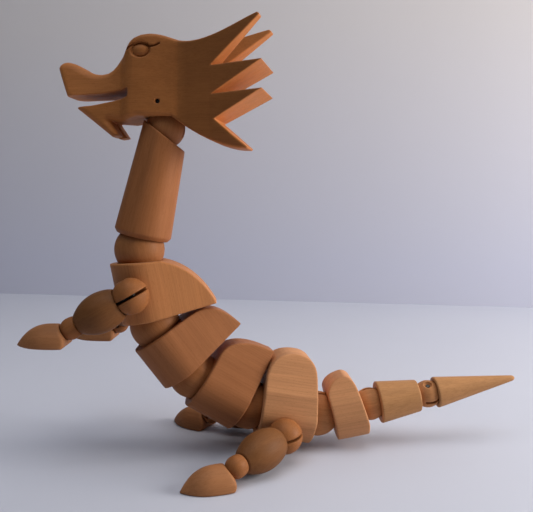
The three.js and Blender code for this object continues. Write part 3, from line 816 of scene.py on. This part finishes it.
def wood(name, tone):
    """Sanded hardwood: year lines, streaks and short pores along X, under a thin satin varnish."""
    surface = Surface(name)
    spot = scattered(surface)

    def grain(look):
        return surface.ramp(surface.noise(spot, *look["noise"]), look["dark"], look["light"])

    ends = {"noise": YEARS["noise"]}
    for end in ("dark", "light"):
        position, share = YEARS[end]
        ends[end] = (position, tuple(share * value for value in tone))
    pores = grain(PORES)
    lines = surface.multiply(grain(ends), grain(STREAKS))
    colour = surface.multiply(lines, surface.multiply(grain(CLOUDS), pores))
    # The head wood carries painted light and shade: a paler snout, darker crest flanks and paler crest
    # notch faces
    if name == "head_wood":
        colour = surface.multiply(colour, surface.along(SNOUT_PAINTED_LIGHT["span"], (1, SNOUT_PAINTED_LIGHT["gain"])))
        colour = surface.multiply(colour, crest_painted_light_and_shade(surface))
    surface.feed("Base Color", colour)
    surface.feed("Roughness", grain(VARNISH))
    bump = surface.nodes.new("ShaderNodeBump")
    bump.inputs["Strength"].default_value = PORE_STRENGTH
    bump.inputs["Distance"].default_value = PORE_DEPTH
    surface.links.new(pores, bump.inputs["Height"])
    surface.feed("Normal", bump.outputs[0])
    surface.keep("Specular IOR Level", WOOD_SPECULAR)
    return surface.material


def steel():
    """Drawn steel wire and sheet with fine scratches, darkened to near black as painted shade, so pins and
    links read dark in their slots.
    """
    surface = Surface("steel_darkened_as_shade")
    surface.keep("Metallic", 1)
    scratches = surface.noise(surface.place.outputs["Object"], 900, 4)
    surface.feed("Base Color", surface.ramp(scratches, (0, (0.03, 0.028, 0.026)), (1, (0.1, 0.097, 0.094))))
    surface.feed("Roughness", surface.scaled(scratches, (0, 1), (0.32, 0.55)))
    return surface.material


def table_paint():
    """Pale paint with a faint unevenness."""
    surface = Surface("table_paint")
    clouds = surface.noise(surface.place.outputs["Object"], 6, 2)
    surface.feed("Base Color", surface.ramp(clouds, (0, (0.53, 0.537, 0.61)), (1, (0.56, 0.57, 0.64))))
    surface.keep("Roughness", 0.6)
    return surface.material


def wall_paint():
    """Pale paint with painted light on it: cooler and dimmer near the table, warmer and brighter above; the
    wall is open from behind.
    """
    surface = Surface("wall_paint")
    rise = surface.scaled(surface.part_of("Object", "Z"), WALL_PAINTED_LIGHT_HEIGHTS, (0, 1))
    surface.feed("Base Color", surface.ramp(rise, (0, (0.556, 0.556, 0.652)), (1, (0.632, 0.59, 0.585))))
    surface.keep("Roughness", 0.85)
    side = surface.nodes.new("ShaderNodeNewGeometry")
    clear = surface.nodes.new("ShaderNodeBsdfTransparent")
    choice = surface.nodes.new("ShaderNodeMixShader")
    surface.links.new(side.outputs["Backfacing"], choice.inputs["Fac"])
    surface.links.new(surface.shader.outputs[0], choice.inputs[1])
    surface.links.new(clear.outputs[0], choice.inputs[2])
    surface.links.new(choice.outputs[0], surface.nodes["Material Output"].inputs["Surface"])
    return surface.material


woods = {name: wood(name, tone) for name, tone in TONES.items()}
steel_darkened_as_shade = steel()


def wood_of_ball(name):
    if name.startswith("tail"):
        return woods["tail_ball_wood"]
    if name.startswith(("left", "right")):
        return woods["limb_ball_wood"]
    return woods["ball_wood"]


# Blocks of the trunk, the tail and the neck
BLOCKS = {
    "chest": body_block("chest", BODY_RADIUS, RIDGE_HALF_WIDTH, NECK_BALL, BODY_BALL, SHOULDER_SEAT),
    "abdomen": body_block("abdomen", BODY_RADIUS, RIDGE_HALF_WIDTH, BODY_BALL, BODY_BALL),
    "belly": body_block("belly", BODY_RADIUS, RIDGE_HALF_WIDTH, BODY_BALL, BODY_BALL),
    "pelvis": body_block(
        "pelvis", BODY_RADIUS, RIDGE_HALF_WIDTH, BODY_BALL, TAIL_BALLS["tail_base"], HIP_SEAT,
    ),
    "tail_base": body_block(
        "tail_base", TAIL_BASE_RADII[0], TAIL_BASE_RIDGE,
        TAIL_BALLS["tail_base"], TAIL_BALLS["tail_middle"], belly=TAIL_BASE_RADII,
    ),
    "neck": neck(),
    "head": head(),
    "tail_middle": tail_middle(),
    "tail_tip": tail_tip(),
}
for piece_name, (piece_space, piece_field) in BLOCKS.items():
    build(piece_name, piece_space, piece_field, piece_name, woods[BLOCK_WOODS[piece_name]])

# Balls: radius, length of the stem and the side on which the cross hole opens
BALLS = {
    "belly": (BODY_BALL, SHORT_REACH, -1),
    "abdomen": (BODY_BALL, SHORT_REACH, -1),
    "chest": (BODY_BALL, SHORT_REACH, -1),
    "neck": (NECK_BALL, LONG_REACH, -1),
    "head": (HEAD_BALL, LONG_REACH, -1),
    "tail_base": (TAIL_BALLS["tail_base"], LONG_REACH, 1),
    "tail_middle": (TAIL_BALLS["tail_middle"], SHORT_REACH, 1),
    "tail_tip": (TAIL_BALLS["tail_tip"], SHORT_REACH, -1),
    "left_shoulder": (LIMB_BALL, LONG_REACH, -1),
    "left_hip": (LIMB_BALL, LONG_REACH, 1),
    "right_shoulder": (LIMB_BALL, LONG_REACH, 1),
    "right_hip": (LIMB_BALL, LONG_REACH, -1),
}
for joint_name, ball_sizes in BALLS.items():
    build(f"{joint_name}_ball", *joint_ball(*ball_sizes), f"{joint_name}_ball", wood_of_ball(joint_name))

# Limbs
for limb_name, limb_pieces in LIMB_NAMES.items():
    egg_name = limb_pieces["egg"]
    egg_length = LIMB_LENGTH["arm" if limb_name.endswith("arm") else "leg"]
    build(egg_name, *egg(egg_length), egg_name, woods["limb_wood"])
    small_name = limb_pieces["small"]
    small_shape = small_ball(hole_directions[small_name])
    build(f"{small_name}_ball", *small_shape, egg_name, woods["limb_ball_wood"])
    build(limb_pieces["paw"], *paw(), limb_pieces["paw"], woods["paw_wood"])

# Pins and links keep their CAD shape
for node_name, node in frame["nodes"].items():
    if node_name.endswith(("_pin", "_link")):
        node.data.materials.clear()
        node.data.materials.append(steel_darkened_as_shade)


# Table, wall, light and camera
def sheet(name, corners, material):
    mesh = bpy.data.meshes.new(name)
    mesh.from_pydata(corners, [], [(0, 1, 2, 3)])
    mesh.materials.append(material)
    surface = bpy.data.objects.new(name, mesh)
    bpy.context.collection.objects.link(surface)


def soft_light(name, look):
    data = bpy.data.lights.new(name, "AREA")
    data.size = look["size"]
    data.energy = look["power"]
    data.color = look["colour"]
    light = bpy.data.objects.new(name, data)
    light.location = look["at"]
    light.visible_camera = False
    direction = Vector(look["toward"]) - Vector(look["at"])
    light.rotation_euler = direction.to_track_quat("-Z", "Y").to_euler()
    bpy.context.collection.objects.link(light)


def room():
    """A pale room to look at, which lends the scene hardly any light."""
    world = bpy.data.worlds.new("room")
    world.use_nodes = True
    nodes = world.node_tree.nodes
    links = world.node_tree.links
    glow = nodes["Background"]
    glow.inputs["Color"].default_value = (*GLOW["colour"], 1)
    glow.inputs["Strength"].default_value = GLOW["strength"]
    backdrop = nodes.new("ShaderNodeBackground")
    backdrop.inputs["Color"].default_value = (*BACKDROP, 1)
    path = nodes.new("ShaderNodeLightPath")
    choice = nodes.new("ShaderNodeMixShader")
    links.new(path.outputs["Is Camera Ray"], choice.inputs["Fac"])
    links.new(glow.outputs[0], choice.inputs[1])
    links.new(backdrop.outputs[0], choice.inputs[2])
    links.new(choice.outputs[0], nodes["World Output"].inputs["Surface"])
    bpy.context.scene.world = world


def add_camera():
    data = bpy.data.cameras.new("camera")
    data.sensor_width = SENSOR_WIDTH
    data.lens = SENSOR_WIDTH * FOCAL_PIXELS / PICTURE_WIDTH
    data.sensor_fit = "HORIZONTAL"
    camera = bpy.data.objects.new("camera", data)
    camera.location = (places["pelvis"].translation + Vector(CAMERA_OFFSET)) * MM
    camera.rotation_euler = (math.radians(90 - CAMERA_TILT), 0, 0)
    bpy.context.collection.objects.link(camera)
    bpy.context.scene.camera = camera


WALL_FOOT = [(TABLE_LEFT, WALL_LEFT, 0), (TABLE_RIGHT, WALL_RIGHT, 0)]
WALL_TOP = [(TABLE_RIGHT, WALL_RIGHT, WALL_HEIGHT), (TABLE_LEFT, WALL_LEFT, WALL_HEIGHT)]
TABLE_EDGE = [(TABLE_LEFT, TABLE_FRONT, 0), (TABLE_RIGHT, TABLE_FRONT, 0)]
sheet("table", [*TABLE_EDGE, *reversed(WALL_FOOT)], table_paint())
sheet("wall", [*WALL_FOOT, *WALL_TOP], wall_paint())
for light_name, light_look in LIGHTS.items():
    soft_light(light_name, light_look)
room()
bpy.context.scene.view_settings.view_transform = "Standard"
add_camera()
